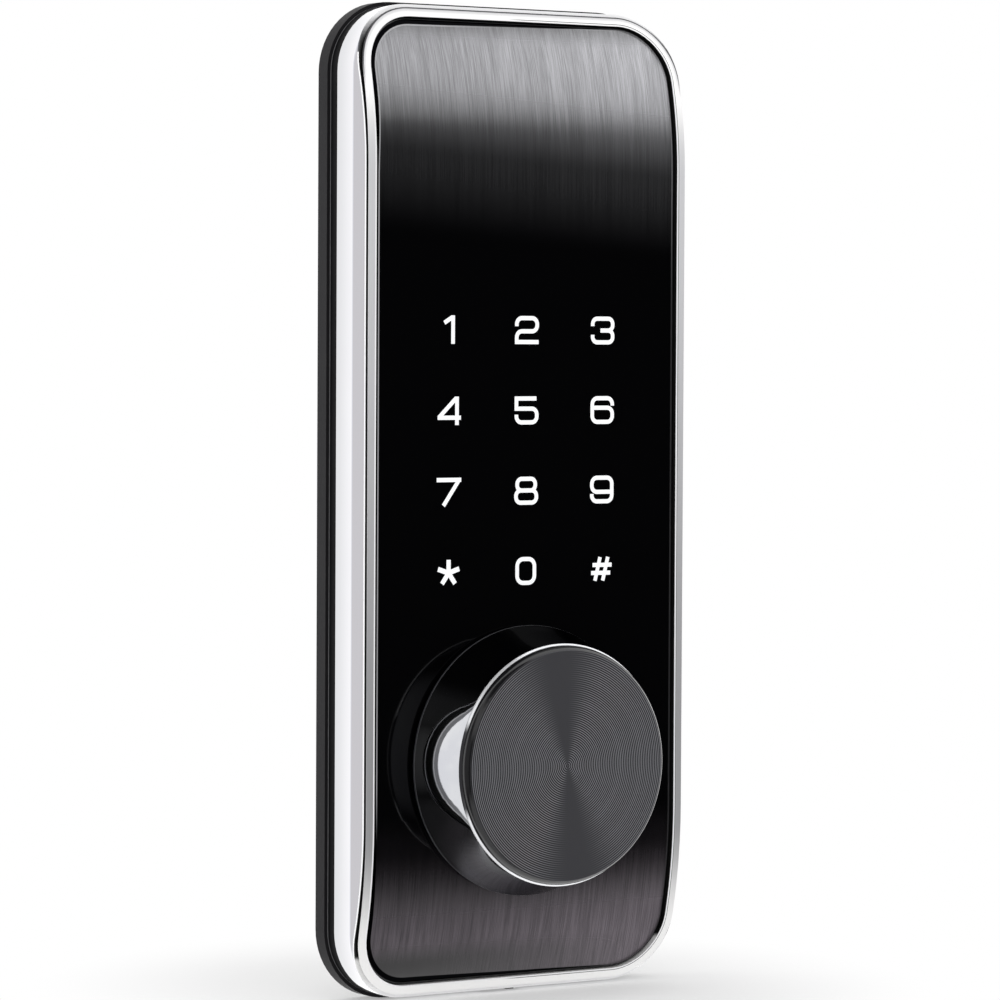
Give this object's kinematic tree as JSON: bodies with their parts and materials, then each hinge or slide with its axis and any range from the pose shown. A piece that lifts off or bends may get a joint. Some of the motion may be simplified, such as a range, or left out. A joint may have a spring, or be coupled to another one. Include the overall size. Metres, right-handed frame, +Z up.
{
  "type": "keypad smart lock",
  "caption": "Outside unit of a deadbolt smart lock: tall chrome case, black touch keypad panel, round turning knob, motor clutch and bolt bar.",
  "frame": {"origin": "point where the knob's axis crosses the face of the door", "axes": "+Z up the case, +Y into the door, so the front faces -Y, and +X to the right of a person facing the lock"},
  "size_m": [0.0706, 0.0659, 0.1781],
  "materials": {
    "rubber": "matt",
    "black_plate": "satin black",
    "case_chrome": "polished",
    "rim_chrome": "satin",
    "panel_black": "gloss, brushed print at both ends",
    "guide_white": "milky",
    "board_green": "solder mask",
    "light_white": "clear",
    "chip_black": "matt",
    "socket_ivory": "matt",
    "screw_steel": "zinc plated",
    "post_steel": "turned",
    "spring_steel": "blued",
    "clutch_steel": "sintered",
    "port_steel": "plated",
    "motor_steel": "plated",
    "cam_plastic": "natural",
    "bush_brass": "turned",
    "knob_black": "gloss black",
    "ring_chrome": "diamond cut",
    "cap_spun": "spun, black anodised"
  },
  "bodies": {
    "case": {"door_gasket": "rubber", "back_plate": "black_plate", "fixing_posts": "post_steel", "cable_grommet": "rubber", "plate_screws": "screw_steel", "case_shell": "case_chrome", "bezel_rim": "rim_chrome", "touch_panel": "panel_black", "light_guide": "guide_white", "control_board": "board_green", "key_lights": "light_white", "board_chips": "chip_black", "buzzer": "chip_black", "harness_socket": "socket_ivory", "board_screws": "screw_steel", "power_port": "port_steel", "port_cover": "rubber", "knob_bush": "bush_brass", "knob_seal": "rubber", "clutch_motor": "motor_steel", "fork_pin": "screw_steel"},
    "knob": {"knob_body": "knob_black", "accent_ring": "ring_chrome", "knob_cap": "cap_spun", "knob_screw": "screw_steel", "knob_shaft": "post_steel", "shaft_clip": "spring_steel", "thrust_washer": "spring_steel", "clutch_driver": "clutch_steel"},
    "bolt_drive": {"bolt_hub": "post_steel", "bolt_bar": "post_steel", "hub_clip": "spring_steel", "hub_pin": "screw_steel"},
    "sleeve": {"clutch_sleeve": "clutch_steel"},
    "fork": {"clutch_fork": "clutch_steel"},
    "cam": {"motor_cam": "cam_plastic"}
  },
  "joints": [
    {"name": "knob_turn", "type": "hinge", "parent": "case", "child": "knob", "pos_m": [0, 0, 0], "axis": [0, 1, 0], "continuous": true},
    {"name": "bolt_drive_turn", "type": "hinge", "parent": "case", "child": "bolt_drive", "pos_m": [0, 0, 0], "axis": [0, 1, 0], "range_deg": [-90, 90]},
    {"name": "clutch_slide", "type": "slide", "parent": "bolt_drive", "child": "sleeve", "axis": [0, -1, 0], "range_m": [0, 0.0015]},
    {"name": "fork_swing", "type": "hinge", "parent": "case", "child": "fork", "pos_m": [0, -0.0074, -0.0235], "axis": [1, 0, 0], "range_deg": [0, 3.67]},
    {"name": "cam_turn", "type": "hinge", "parent": "case", "child": "cam", "pos_m": [0, -0.0045, -0.0175], "axis": [1, 0, 0], "range_deg": [0, 180]}
  ],
  "couplings": [
    {"joint": "fork_swing", "follows": "clutch_slide", "rad_per_m": 42.582},
    {"joint": "cam_turn", "follows": "clutch_slide", "rad_per_m": 2094.4}
  ]
}
